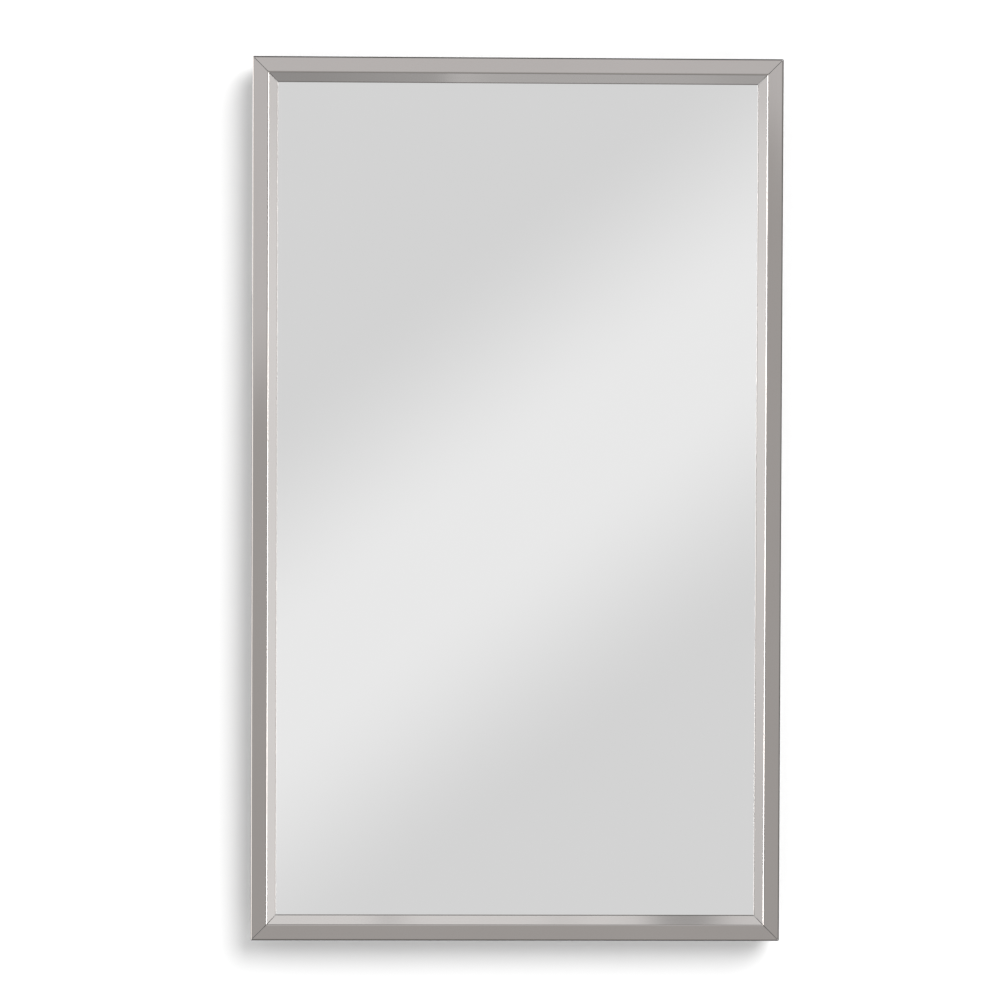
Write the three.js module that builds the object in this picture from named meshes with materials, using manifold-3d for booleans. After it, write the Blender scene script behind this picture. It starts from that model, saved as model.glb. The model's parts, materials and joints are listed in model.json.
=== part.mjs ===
// A recessed medicine cabinet. A folded-steel box fits between the studs of a wall, and a mirror door in a
// mitred frame of polished stainless steel covers it, on a full-length piano hinge at its left edge.
//
// Millimetres, +Z up. The door faces -Y, and the origin is the centre of the back panel's rear face.
// A section across any edge of the cabinet is drawn in u and v: u runs inwards from the door's outer edge,
// and v runs backwards from the door's front face.
import * as THREE from "three";
import { mergeVertices } from "three/addons/utils/BufferGeometryUtils.js";
import Module from "manifold-3d";

const wasm = await Module();
wasm.setup();

// ---- Driving dimensions -------------------------------------------------------------------------------

const CLEAR = 0.3; // gap between pieces that touch
const ARC_STEP = Math.PI / 8; // largest turn between two points of a bend
const ROUND_SIDES = 10; // sides of a round piece
const SMALL_HOLE_SIDES = 8; // sides of a shelf pin and of its hole

const DOOR = { width: 457.2, height: 762, depth: 20 };
const WALL_OVERLAP = 25.4; // how far the door reaches past the box on each side
const RECESS = 89; // depth of the box behind the wall's surface
const RIM = 8; // how far the box's flange stands out of the wall

const FRAME = { sheet: 0.9, face: 13.6, nose: 23.1, seat: 7.8, seatEnd: 12.5 };
const FRAME_BEND = { outer: 1.7, arris: 2.6, nose: 1 };
const GLASS = { edge: 13, thickness: 4 };
const PAD = 5.6; // foam between the mirror and the door's back panel
const BACK_PANEL_INSET = 1.4; // from the frame's outer face to the door's back panel

const STEEL = 1; // thickness of the box's sheet, the door's back panel and the hinge's leaves
const FLANGE_INSET = 4; // the flange ends this far inside the door's edge
const BEND = 1.3; // outside radius of a fold in the box
const WELD_TAB = 15;

const HINGE = { radius: 2.6, bore: 1.6, pitch: 25.4, knuckles: 27, axisU: 3.1, leafStart: 2.9, leafEnd: 13 };
const HINGE_PIN = { radius: 1.2, headRadius: 2.2, headHeight: 1.2 };
const STRIP = { start: 5.4, end: 12.6, thickness: 3, half: 330 }; // behind the door's back panel, for screws
const KEY = { arm: 36, width: 10, screwAt: 24 };
const SHELF = { thickness: 5, depth: 80, sideGap: 2.7, backGap: 6 };
const SHELF_LEVELS = { lower: -178, middle: 0, upper: 178 };
const CLIP_HOLE = { radius: 2.6, pitch: 32, front: -72, back: -20 };
const CLIP_TONGUE = { length: 10, width: 8, thickness: 2.2 };
const CLIP_COLLAR = { radius: 4.6, thickness: 1 };
const CATCH = { z: -60, width: 13.4, depth: 22, height: 28, ear: 48, earDepth: 12, earSheet: 3, screwAt: 20 };
const MAGNET = { width: 8, depth: 14, height: 22 };
const STRIKE = { width: 14, height: 26, thickness: 1.5 };
const BUMPER = { radius: 4.5, fromMiddle: 330 };
const SHORT_OF_OUTSIDE = 0.1; // clips and screws in the box's sides end here, so a side lies flat on a stud

const CORNER_SCREW = { shank: 1.5, length: 12, head: 2.8, height: 1.3 };
const HINGE_SCREW = { shank: 1.5, length: 6.2, head: 2.6, height: 1.2, u: 9.2, levels: [-270, -90, 90, 270] };
const CATCH_SCREW = { shank: 1.5, head: 2.6, height: 1.4 };
const STRIKE_SCREW = { shank: 1.4, length: 5.2, head: 2.8, height: 0.8 };
const RIVET = { shank: 1.6, head: 2.9, height: 1, tail: 2.4, tailLength: 1.5, u: 11 };
const RIVET_LEVELS = [-294, -98, 98, 294];
const SCREW_HOLE = 1.8;
const RIVET_HOLE = 1.9;
const WALL_HOLE = { radius: 3.2, x: 152, z: 300 }; // through the back panel
const STUD_HOLE = { radius: 3.2, y: -52, z: 252 }; // through the side panels

// ---- Levels that follow, as v from the door's front face -------------------------------------------------

const mirrorV = FRAME.seat + CLEAR;
const padV = mirrorV + GLASS.thickness + CLEAR;
const doorBackV = padV + PAD + CLEAR; // front of the door's back panel
const doorLeafV = doorBackV + STEEL + CLEAR;
const pinV = doorLeafV + HINGE.radius;
const bodyLeafV = pinV + HINGE.radius - STEEL;
const flangeV = bodyLeafV + STEEL + CLEAR;
const wallV = flangeV + RIM;
const rearV = wallV + RECESS;
const backPanelV = rearV - STEEL;

const yOf = (v) => v - rearV;
const boxHalfWidth = DOOR.width / 2 - WALL_OVERLAP; // to the outside of the box
const innerHalfWidth = boxHalfWidth - STEEL;

// ---- Materials -------------------------------------------------------------------------------------------

const material = (color, roughness, metalness, extra = {}) =>
  new THREE.MeshStandardMaterial({ color, roughness, metalness, ...extra });
const polishedSteel = material(0xc9c6c4, 0.06, 1);
const mirrorSilver = material(0xe6e8e8, 0.01, 1);
const whiteEnamel = material(0xf2f2ef, 0.4, 0);
const zincSteel = material(0xb4b6b8, 0.35, 1);
const clearGlass = material(0xdcece6, 0.03, 0, { transparent: true, opacity: 0.35 });
const nickel = material(0xc2bdb5, 0.2, 1);
const foam = material(0xe9e9e6, 0.95, 0);
const whitePlastic = material(0xececea, 0.45, 0);
const softRubber = material(0xdadbd8, 0.6, 0);
const ferrite = material(0x3b3a3a, 0.6, 0.3);
const castZinc = material(0x9a9c9e, 0.5, 0.9);

// ---- Solids ----------------------------------------------------------------------------------------------

const Y_AXIS = new THREE.Vector3(0, 1, 0); // along which three.js draws cylinders and lathes

// A closed geometry as a manifold-3d solid, moved by an optional matrix.
function solidOf(geometry, matrix = new THREE.Matrix4()) {
  const bare = new THREE.BufferGeometry().setAttribute("position", geometry.attributes.position.clone());
  bare.setIndex(geometry.index);
  const { attributes, index } = mergeVertices(bare.applyMatrix4(matrix), 1e-4);
  return new wasm.Manifold(
    new wasm.Mesh({
      numProp: 3,
      vertProperties: attributes.position.array,
      triVerts: new Uint32Array(index.array),
    }),
  );
}

function geometryOf(solid) {
  const { vertProperties, triVerts } = solid.getMesh();
  const geometry = new THREE.BufferGeometry();
  geometry.setAttribute("position", new THREE.BufferAttribute(vertProperties, 3));
  geometry.setIndex(new THREE.BufferAttribute(triVerts, 1));
  return geometry;
}

const joined = (geometries) => geometryOf(geometries.map((g) => solidOf(g)).reduce((all, s) => all.add(s)));

// A box from its lowest corner to its highest.
function block(low, high) {
  const size = high.map((h, i) => h - low[i]);
  return new THREE.BoxGeometry(...size).translate(...low.map((l, i) => l + size[i] / 2));
}

// A cylinder of the given length whose middle is at centre and which runs along axis.
function rod(centre, axis, radius, length, sides = ROUND_SIDES) {
  const turn = new THREE.Quaternion().setFromUnitVectors(Y_AXIS, new THREE.Vector3(...axis));
  return new THREE.CylinderGeometry(radius, radius, length, sides)
    .applyQuaternion(turn)
    .translate(...centre);
}

// Holes through a placed mesh: centres and axis are in the cabinet's frame.
function drill(mesh, centres, axis, radius, length = 10, sides = ROUND_SIDES) {
  mesh.updateMatrix();
  const toMesh = mesh.matrix.clone().invert();
  const holes = centres.map((centre) => solidOf(rod(centre, axis, radius, length, sides), toMesh));
  mesh.geometry = geometryOf(holes.reduce((left, hole) => left.subtract(hole), solidOf(mesh.geometry)));
}

// ---- Sheet sections --------------------------------------------------------------------------------------

// The points of a line through corners [u, v, radius], each corner with a radius rounded by an arc.
function roundedPath(corners) {
  const at = (i) => new THREE.Vector2(corners[i][0], corners[i][1]);
  return corners.flatMap(([, , radius = 0], i) => {
    const corner = at(i);
    if (!radius) return [corner];
    const back = at(i - 1).sub(corner).normalize();
    const onward = at(i + 1).sub(corner).normalize();
    const half = Math.acos(back.dot(onward)) / 2;
    const middle = back.clone().add(onward).normalize();
    const centre = corner.clone().addScaledVector(middle, radius / Math.sin(half));
    const from = corner.clone().addScaledVector(back, radius / Math.tan(half)).sub(centre);
    const to = corner.clone().addScaledVector(onward, radius / Math.tan(half)).sub(centre);
    const sweep = Math.atan2(from.cross(to), from.dot(to));
    const steps = Math.ceil(Math.abs(sweep) / ARC_STEP);
    return Array.from({ length: steps + 1 }, (_, k) =>
      from.clone().rotateAround(new THREE.Vector2(), (sweep * k) / steps).add(centre),
    );
  });
}

// A folded sheet seen end on: its face runs through the corners, and its thickness is on the left of them.
function sheetSection(corners, thickness) {
  const face = roundedPath(corners);
  const sideways = face.slice(1).map((p, i) => {
    const along = p.clone().sub(face[i]).normalize();
    return new THREE.Vector2(-along.y, along.x);
  });
  const other = face.map((p, i) => {
    const a = sideways[Math.max(i - 1, 0)];
    const b = sideways[Math.min(i, sideways.length - 1)];
    return p.clone().addScaledVector(a.clone().add(b), thickness / (1 + a.dot(b)));
  });
  return new THREE.Shape([...face, ...other.reverse()]);
}

const SIDES = {
  left: { outward: [-1, 0, 0], reach: DOOR.width / 2, half: DOOR.height / 2 },
  right: { outward: [1, 0, 0], reach: DOOR.width / 2, half: DOOR.height / 2 },
  top: { outward: [0, 0, 1], reach: DOOR.height / 2, half: DOOR.width / 2 },
  bottom: { outward: [0, 0, -1], reach: DOOR.height / 2, half: DOOR.width / 2 },
};

// One side of a rectangular ring with the given section, mitred at both ends.
function ringMember(name, section, side, surface) {
  const { outward, reach, half } = SIDES[side];
  const mitreGap = CLEAR * Math.SQRT1_2;
  const geometry = new THREE.ExtrudeGeometry(section, { depth: 1, bevelEnabled: false });
  const p = geometry.attributes.position;
  for (let i = 0; i < p.count; i++) {
    p.setZ(i, (2 * p.getZ(i) - 1) * (half - p.getX(i) - mitreGap));
  }
  const mesh = named(name, geometry, surface);
  const out = new THREE.Vector3(...outward);
  const inward = out.clone().negate();
  const along = inward.clone().cross(Y_AXIS);
  mesh.quaternion.setFromRotationMatrix(new THREE.Matrix4().makeBasis(inward, Y_AXIS, along));
  mesh.position.copy(out.multiplyScalar(reach)).setY(yOf(0));
  return mesh;
}

// A flat rectangular sheet across the door or the box: u inside the door's edge, from v to v + thickness.
function flatSheet(name, u, v, thickness, surface) {
  const halfWidth = DOOR.width / 2 - u;
  const halfHeight = DOOR.height / 2 - u;
  const geometry = block([-halfWidth, yOf(v), -halfHeight], [halfWidth, yOf(v + thickness), halfHeight]);
  return named(name, geometry, surface);
}

function named(name, geometry, surface) {
  const mesh = new THREE.Mesh(geometry, surface);
  mesh.name = name;
  return mesh;
}

// A fastener turned about its own axis. The profile lists [radius, height], and height 0 is under its head.
// It is placed with that point at seat and its head pointing along axis.
function turnedPiece(name, profile, seat, axis, surface) {
  const points = profile.map(([radius, height]) => new THREE.Vector2(radius, height));
  const mesh = named(name, new THREE.LatheGeometry(points, ROUND_SIDES), surface);
  mesh.quaternion.setFromUnitVectors(Y_AXIS, new THREE.Vector3(...axis));
  mesh.position.set(...seat);
  return mesh;
}

const panHeadScrew = ({ shank, length, head, height }) => [
  [0, -length],
  [shank * 0.6, -length],
  [shank, -length + shank],
  [shank, 0],
  [head, 0],
  [head, height * 0.45],
  [head * 0.72, height * 0.86],
  [0, height],
];

const backward = [0, 1, 0];
const forward = [0, -1, 0];

// ---- The door --------------------------------------------------------------------------------------------

const door = new THREE.Group();

const frameSection = sheetSection(
  [
    [0, DOOR.depth],
    [0, 0, FRAME_BEND.outer],
    [FRAME.face, 0, FRAME_BEND.arris],
    [FRAME.nose, FRAME.seat, FRAME_BEND.nose],
    [FRAME.seatEnd, FRAME.seat],
  ],
  FRAME.sheet,
);
door.add(
  ringMember("frame_top_rail", frameSection, "top", polishedSteel),
  ringMember("frame_bottom_rail", frameSection, "bottom", polishedSteel),
  ringMember("frame_left_stile", frameSection, "left", polishedSteel),
  ringMember("frame_right_stile", frameSection, "right", polishedSteel),
);

const mirrorGlass = flatSheet("mirror_glass", GLASS.edge, mirrorV, GLASS.thickness, mirrorSilver);
const backingPad = flatSheet("mirror_backing_pad", GLASS.edge, padV, PAD, foam);
const doorBackPanel = flatSheet("door_back_panel", BACK_PANEL_INSET, doorBackV, STEEL, whiteEnamel);
door.add(mirrorGlass, backingPad, doorBackPanel);

// L-shaped keys fill the frame's channel at the corners, and the back panel is screwed to them.
const keyFrontV = FRAME.sheet + CLEAR;
const keyBackV = doorBackV - CLEAR;
const keyStart = FRAME.sheet + CLEAR;
for (const [sideZ, up] of [["top", 1], ["bottom", -1]]) {
  for (const [sideX, across] of [["left", -1], ["right", 1]]) {
    const cornerX = across * (DOOR.width / 2 - keyStart);
    const cornerZ = up * (DOOR.height / 2 - keyStart);
    const arm = (lengthX, lengthZ) => {
      const xs = [cornerX, cornerX - across * lengthX].sort((a, b) => a - b);
      const zs = [cornerZ, cornerZ - up * lengthZ].sort((a, b) => a - b);
      return block([xs[0], yOf(keyFrontV), zs[0]], [xs[1], yOf(keyBackV), zs[1]]);
    };
    const key = named(
      `corner_key_${sideZ}_${sideX}`,
      joined([arm(KEY.arm, KEY.width), arm(KEY.width, KEY.arm)]),
      castZinc,
    );
    const middle = KEY.width / 2;
    const places = {
      rail: [cornerX - across * KEY.screwAt, 0, cornerZ - up * middle],
      stile: [cornerX - across * middle, 0, cornerZ - up * KEY.screwAt],
    };
    for (const [member, [x, , z]] of Object.entries(places)) {
      drill(key, [[x, yOf(keyBackV), z]], backward, SCREW_HOLE, 2 * CORNER_SCREW.length);
      drill(doorBackPanel, [[x, yOf(doorBackV), z]], backward, SCREW_HOLE);
      const seat = [x, yOf(doorBackV + STEEL + CLEAR), z];
      const name = `corner_screw_${sideZ}_${sideX}_${member}`;
      door.add(turnedPiece(name, panHeadScrew(CORNER_SCREW), seat, backward, nickel));
    }
    door.add(key);
  }
}

// ---- The box ---------------------------------------------------------------------------------------------

const box = new THREE.Group();

// Each wall is one folded sheet: a rim against the room's wall, a flange, the wall itself and a welding tab.
const innerU = WALL_OVERLAP + STEEL;
const tabV = backPanelV - CLEAR - STEEL;
const wallSection = sheetSection(
  [
    [FLANGE_INSET, wallV],
    [FLANGE_INSET, flangeV, BEND],
    [innerU, flangeV, BEND],
    [innerU, tabV, BEND],
    [innerU + WELD_TAB, tabV],
  ],
  STEEL,
);
const leftPanel = ringMember("left_side_panel", wallSection, "left", whiteEnamel);
const rightPanel = ringMember("right_side_panel", wallSection, "right", whiteEnamel);
const backPanel = flatSheet("back_panel", WALL_OVERLAP + CLEAR, backPanelV, STEEL, whiteEnamel);
box.add(
  leftPanel,
  rightPanel,
  ringMember("top_panel", wallSection, "top", whiteEnamel),
  ringMember("bottom_panel", wallSection, "bottom", whiteEnamel),
  backPanel,
);

// Holes for the screws that fix the box to the studs or to the wall.
for (const z of [-STUD_HOLE.z, STUD_HOLE.z]) {
  drill(leftPanel, [[-boxHalfWidth, STUD_HOLE.y, z]], [1, 0, 0], STUD_HOLE.radius);
  drill(rightPanel, [[boxHalfWidth, STUD_HOLE.y, z]], [1, 0, 0], STUD_HOLE.radius);
}
for (const z of [-WALL_HOLE.z, WALL_HOLE.z]) {
  drill(backPanel, [[-WALL_HOLE.x, 0, z], [WALL_HOLE.x, 0, z]], backward, WALL_HOLE.radius);
}

// ---- Shelves and their clips -----------------------------------------------------------------------------

const clipRows = Object.values(SHELF_LEVELS).flatMap((z) => [z - CLIP_HOLE.pitch, z, z + CLIP_HOLE.pitch]);
for (const [panel, x] of [[leftPanel, -boxHalfWidth], [rightPanel, boxHalfWidth]]) {
  for (const y of [CLIP_HOLE.front, CLIP_HOLE.back]) {
    const centres = clipRows.map((z) => [x, y, z]);
    drill(panel, centres, [1, 0, 0], CLIP_HOLE.radius, 6, SMALL_HOLE_SIDES);
  }
}

// A push-in clip: a pin in the wall, a collar against it and a flat tongue under the glass.
function shelfClip(name, side, y, z) {
  const wallX = innerHalfWidth - CLEAR;
  const collarX = wallX - CLIP_COLLAR.thickness / 2;
  const pinLength = CLEAR + STEEL - SHORT_OF_OUTSIDE + CLIP_COLLAR.thickness;
  const pinX = wallX - CLIP_COLLAR.thickness + pinLength / 2;
  const tongueEnd = wallX - CLIP_COLLAR.thickness - CLIP_TONGUE.length;
  const geometry = joined([
    rod([pinX, y, z], [1, 0, 0], CLIP_HOLE.radius - CLEAR, pinLength, SMALL_HOLE_SIDES),
    rod([collarX, y, z], [1, 0, 0], CLIP_COLLAR.radius, CLIP_COLLAR.thickness),
    block(
      [tongueEnd, y - CLIP_TONGUE.width / 2, z - CLIP_TONGUE.thickness / 2],
      [collarX, y + CLIP_TONGUE.width / 2, z + CLIP_TONGUE.thickness / 2],
    ),
  ]);
  const clip = named(name, geometry, nickel);
  if (side === "left") clip.rotation.z = Math.PI;
  return clip;
}

for (const [level, z] of Object.entries(SHELF_LEVELS)) {
  const underside = z + CLIP_TONGUE.thickness / 2 + CLEAR;
  const halfWidth = innerHalfWidth - SHELF.sideGap;
  const geometry = block(
    [-halfWidth, -SHELF.backGap - SHELF.depth, underside],
    [halfWidth, -SHELF.backGap, underside + SHELF.thickness],
  );
  box.add(named(`glass_shelf_${level}`, geometry, clearGlass));
  for (const [place, y] of [["front", CLIP_HOLE.front], ["back", CLIP_HOLE.back]]) {
    box.add(shelfClip(`shelf_clip_${level}_right_${place}`, "right", y, z));
    // The left clip is the right one turned half round the vertical axis, so its depth changes sign first.
    box.add(shelfClip(`shelf_clip_${level}_left_${place}`, "left", -y, z));
  }
}

// ---- The piano hinge -------------------------------------------------------------------------------------

const pinX = HINGE.axisU - DOOR.width / 2;
const pinY = yOf(pinV);
const hingeHalf = (HINGE.pitch * HINGE.knuckles) / 2;
const knuckleLength = HINGE.pitch - CLEAR;

// A leaf lies beside the pin on the door's side (-1) or on the box's side (1), with every other knuckle.
function hingeLeaf(name, towards, firstKnuckle) {
  const plateYs = [towards * HINGE.radius, towards * (HINGE.radius - STEEL)].sort((a, b) => a - b);
  const plate = block([HINGE.leafStart, plateYs[0], -hingeHalf], [HINGE.leafEnd, plateYs[1], hingeHalf]);
  const parts = [plate];
  for (let k = firstKnuckle; k < HINGE.knuckles; k += 2) {
    const z = -hingeHalf + HINGE.pitch * (k + 0.5);
    const half = knuckleLength / 2;
    parts.push(rod([0, 0, z], [0, 0, 1], HINGE.radius, knuckleLength));
    parts.push(block([0, plateYs[0], z - half], [HINGE.leafStart + STEEL, plateYs[1], z + half]));
  }
  const leaf = named(name, joined(parts), zincSteel);
  leaf.position.set(pinX, pinY, 0);
  drill(leaf, [[pinX, pinY, 0]], [0, 0, 1], HINGE.bore, 2 * hingeHalf + 10);
  return leaf;
}

const bodyLeaf = hingeLeaf("hinge_body_leaf", 1, 0);
const doorLeaf = hingeLeaf("hinge_door_leaf", -1, 1);
const pinShoulder = hingeHalf + CLEAR;
const pinEnd = pinShoulder + HINGE_PIN.headHeight;
const pinProfile = [
  [0, -pinEnd],
  [HINGE_PIN.headRadius, -pinEnd],
  [HINGE_PIN.headRadius, -pinShoulder],
  [HINGE_PIN.radius, -pinShoulder],
  [HINGE_PIN.radius, pinShoulder],
  [HINGE_PIN.headRadius, pinShoulder],
  [HINGE_PIN.headRadius, pinEnd],
  [0, pinEnd],
];
box.add(bodyLeaf, turnedPiece("hinge_pin", pinProfile, [pinX, pinY, 0], [0, 0, 1], zincSteel));
door.add(doorLeaf);

// Rivets hold the box's leaf to the flange, and screws hold the door's leaf to a steel strip in the stile.
const rivetGrip = 2 * STEEL + 3 * CLEAR;
const rivetProfile = [
  [0, -rivetGrip - RIVET.tailLength],
  [RIVET.tail, -rivetGrip - RIVET.tailLength],
  [RIVET.tail, -rivetGrip],
  [RIVET.shank, -rivetGrip],
  [RIVET.shank, 0],
  [RIVET.head, 0],
  [RIVET.head * 0.8, RIVET.height * 0.6],
  [0, RIVET.height],
];
RIVET_LEVELS.forEach((z, i) => {
  const x = RIVET.u - DOOR.width / 2;
  drill(bodyLeaf, [[x, yOf(bodyLeafV), z]], backward, RIVET_HOLE);
  drill(leftPanel, [[x, yOf(flangeV), z]], backward, RIVET_HOLE, 4 * STEEL);
  const seat = [x, yOf(bodyLeafV - CLEAR), z];
  box.add(turnedPiece(`hinge_rivet_${i + 1}`, rivetProfile, seat, forward, zincSteel));
});

const stripBackV = doorBackV - CLEAR;
const strip = named(
  "hinge_backing_strip",
  block(
    [STRIP.start - DOOR.width / 2, yOf(stripBackV - STRIP.thickness), -STRIP.half],
    [STRIP.end - DOOR.width / 2, yOf(stripBackV), STRIP.half],
  ),
  zincSteel,
);
door.add(strip);
HINGE_SCREW.levels.forEach((z, i) => {
  const x = HINGE_SCREW.u - DOOR.width / 2;
  for (const mesh of [doorLeaf, doorBackPanel, strip]) {
    drill(mesh, [[x, yOf(doorBackV), z]], backward, SCREW_HOLE, 2 * HINGE_SCREW.length);
  }
  const seat = [x, yOf(doorLeafV + STEEL + CLEAR), z];
  door.add(turnedPiece(`hinge_screw_${i + 1}`, panHeadScrew(HINGE_SCREW), seat, backward, nickel));
});

// ---- The magnetic catch and its strike -------------------------------------------------------------------

const strikeV = doorBackV + STEEL + CLEAR;
const magnetV = strikeV + STRIKE.thickness + CLEAR;
const housingV = magnetV + CLEAR;
const catchX = innerHalfWidth - CLEAR; // side of the housing that lies on the wall
const magnetX = catchX - CATCH.width / 2;

const housing = named(
  "catch_housing",
  joined([
    block(
      [catchX - CATCH.width, yOf(housingV), CATCH.z - CATCH.height / 2],
      [catchX, yOf(housingV + CATCH.depth), CATCH.z + CATCH.height / 2],
    ),
    block(
      [catchX - CATCH.earSheet, yOf(housingV + CATCH.depth - CATCH.earDepth), CATCH.z - CATCH.ear / 2],
      [catchX, yOf(housingV + CATCH.depth), CATCH.z + CATCH.ear / 2],
    ),
  ]),
  whitePlastic,
);
const pocketHalf = { width: MAGNET.width / 2 + CLEAR, height: MAGNET.height / 2 + CLEAR };
const pocket = block(
  [magnetX - pocketHalf.width, yOf(housingV) - 1, CATCH.z - pocketHalf.height],
  [magnetX + pocketHalf.width, yOf(magnetV + MAGNET.depth + CLEAR), CATCH.z + pocketHalf.height],
);
housing.geometry = geometryOf(solidOf(housing.geometry).subtract(solidOf(pocket)));
const magnet = named(
  "catch_magnet",
  block(
    [magnetX - MAGNET.width / 2, yOf(magnetV), CATCH.z - MAGNET.height / 2],
    [magnetX + MAGNET.width / 2, yOf(magnetV + MAGNET.depth), CATCH.z + MAGNET.height / 2],
  ),
  ferrite,
);
box.add(housing, magnet);

const catchScrew = { ...CATCH_SCREW, length: CATCH.earSheet + 2 * CLEAR + STEEL - SHORT_OF_OUTSIDE };
const catchScrewY = yOf(housingV + CATCH.depth - CATCH.earDepth / 2);
for (const [place, dz] of [["upper", CATCH.screwAt], ["lower", -CATCH.screwAt]]) {
  const z = CATCH.z + dz;
  for (const mesh of [housing, rightPanel]) {
    drill(mesh, [[catchX, catchScrewY, z]], [1, 0, 0], SCREW_HOLE, 3 * CATCH.earSheet);
  }
  const seat = [catchX - CATCH.earSheet - CLEAR, catchScrewY, z];
  box.add(turnedPiece(`catch_screw_${place}`, panHeadScrew(catchScrew), seat, [-1, 0, 0], nickel));
}

const strike = named(
  "strike_plate",
  block(
    [magnetX - STRIKE.width / 2, yOf(strikeV), CATCH.z - STRIKE.height / 2],
    [magnetX + STRIKE.width / 2, yOf(strikeV + STRIKE.thickness), CATCH.z + STRIKE.height / 2],
  ),
  zincSteel,
);
// A flat-head screw sits flush in the strike, and its point ends in a blind hole in the foam.
const strikeFaceV = strikeV + STRIKE.thickness;
const strikeFace = [magnetX, yOf(strikeFaceV), CATCH.z];
const foamLeft = 1;
drill(strike, [strikeFace], backward, STRIKE_SCREW.head + CLEAR, 2 * (STRIKE_SCREW.height + CLEAR));
drill(strike, [strikeFace], backward, SCREW_HOLE);
drill(doorBackPanel, [strikeFace], backward, SCREW_HOLE);
drill(backingPad, [strikeFace], backward, STRIKE_SCREW.head, 2 * (strikeFaceV - padV - foamLeft));
const { shank, length, head, height } = STRIKE_SCREW;
const strikeScrewProfile = [
  [0, -length],
  [shank * 0.6, -length],
  [shank, -length + shank],
  [shank, 0],
  [head, 0],
  [head, height],
  [0, height],
];
const strikeSeat = [magnetX, yOf(strikeFaceV - height), CATCH.z];
door.add(strike, turnedPiece("strike_screw", strikeScrewProfile, strikeSeat, backward, nickel));

// ---- Bumpers on the flange, at the door's free edge ------------------------------------------------------

const bumperX = (boxHalfWidth + DOOR.width / 2 - FLANGE_INSET) / 2;
const bumperThickness = flangeV - doorBackV - STEEL - 2 * CLEAR;
for (const [place, z] of [["upper", BUMPER.fromMiddle], ["lower", -BUMPER.fromMiddle]]) {
  const profile = [
    [0, 0],
    [BUMPER.radius, 0],
    [BUMPER.radius, bumperThickness * 0.6],
    [BUMPER.radius * 0.7, bumperThickness],
    [0, bumperThickness],
  ];
  const seat = [bumperX, yOf(flangeV - CLEAR), z];
  box.add(turnedPiece(`door_bumper_${place}`, profile, seat, forward, softRubber));
}

const cabinet = new THREE.Group();
cabinet.add(box, door);
export default cabinet;
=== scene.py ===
"""The looks of a recessed medicine cabinet: finer meshes on the CAD frame, finishes, stage, light, camera."""
import json
import math

import bmesh
import bpy
from mathutils import Matrix, Vector


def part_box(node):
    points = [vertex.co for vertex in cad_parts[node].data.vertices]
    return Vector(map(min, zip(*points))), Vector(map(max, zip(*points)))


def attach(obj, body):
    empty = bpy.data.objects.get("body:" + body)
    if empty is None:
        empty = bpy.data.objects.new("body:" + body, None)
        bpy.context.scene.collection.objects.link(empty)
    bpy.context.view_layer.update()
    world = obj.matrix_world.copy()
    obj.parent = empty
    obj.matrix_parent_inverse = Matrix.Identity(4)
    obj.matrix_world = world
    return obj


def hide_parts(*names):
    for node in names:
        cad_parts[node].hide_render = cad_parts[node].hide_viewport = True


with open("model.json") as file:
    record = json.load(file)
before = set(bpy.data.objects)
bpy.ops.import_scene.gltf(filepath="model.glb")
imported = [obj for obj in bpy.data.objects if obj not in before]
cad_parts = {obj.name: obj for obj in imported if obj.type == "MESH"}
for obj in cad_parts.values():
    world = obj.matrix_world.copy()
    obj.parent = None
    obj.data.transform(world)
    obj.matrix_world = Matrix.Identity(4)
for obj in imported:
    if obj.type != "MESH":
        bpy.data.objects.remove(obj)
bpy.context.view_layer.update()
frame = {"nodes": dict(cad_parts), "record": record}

MM = 0.001

# ---- Sizes that the fine meshes repeat from the CAD, in millimetres ----------------------------------------
# A section across an edge is drawn in u, inwards from the door's outer edge, and v, backwards from its front.

CLEAR = 0.3
FRAME_SHEET = 0.9
FRAME_CORNERS = [(0, 20), (0, 0, 1.7), (13.6, 0, 2.6), (23.1, 7.8, 1.0), (12.5, 7.8)]
BOX_SHEET = 1.0
FLANGE_INSET = 4
BOX_WALL_U = 26.4  # inside face of the box's walls
WELD_TAB = 15
BOX_BEND = 1.3

KNUCKLE_RADIUS = 2.6
KNUCKLE_PITCH = 25.4
LEAF_START = 2.9  # from the pin's axis
PIN_RADIUS = 1.2
PIN_HEAD = (2.2, 1.2)  # radius and height
CURL_TURN = math.radians(318)  # how far a knuckle wraps round the pin
CURL_STEPS = 40

PAN_SCREWS = {  # shank radius, length, head radius, head height
    "corner_screw": (1.5, 12, 2.8, 1.3),
    "hinge_screw": (1.5, 6.2, 2.6, 1.2),
    "catch_screw": (1.5, 4.5, 2.6, 1.4),
}
STRIKE_SCREW = (1.4, 5.2, 2.8, 0.8)
THREAD_PITCH = 0.9
THREAD_ROOT = 0.78  # part of the shank's radius
PAN_DOME = math.radians(75)  # a pan head's dome ends at this angle, in a flat
RIVET_DOME = math.pi * 3 / 7
BUMPER_DOME = math.radians(80)
RIVET = {"shank": 1.6, "grip": 2.9, "tail": 2.4, "tail_length": 1.5, "head": 2.9, "height": 1.0}
CLIP = {
    "collar": 4.6, "collar_thickness": 1.0, "pin": 2.3, "pin_length": 1.2,
    "width": 8, "length": 10, "sheet": 2.2,
}
CLIP_HOLE_RADIUS = 2.6
CLIP_ROW_PITCH = 32  # between the rows of holes that a shelf can move to
STUD_HOLE = {"radius": 3.2, "y": -52, "z": 252}

ARC_STEP = math.radians(7)
ROUND_SIDES = 40
SHARP_ANGLE = math.radians(38)
JOINED = math.cos(SHARP_ANGLE)

RECORD = frame["record"]
BODY_OF = {n: body for body, nodes in RECORD["behaviour"]["bodies"].items() for n in nodes}
NODES = sorted(BODY_OF)

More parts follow.
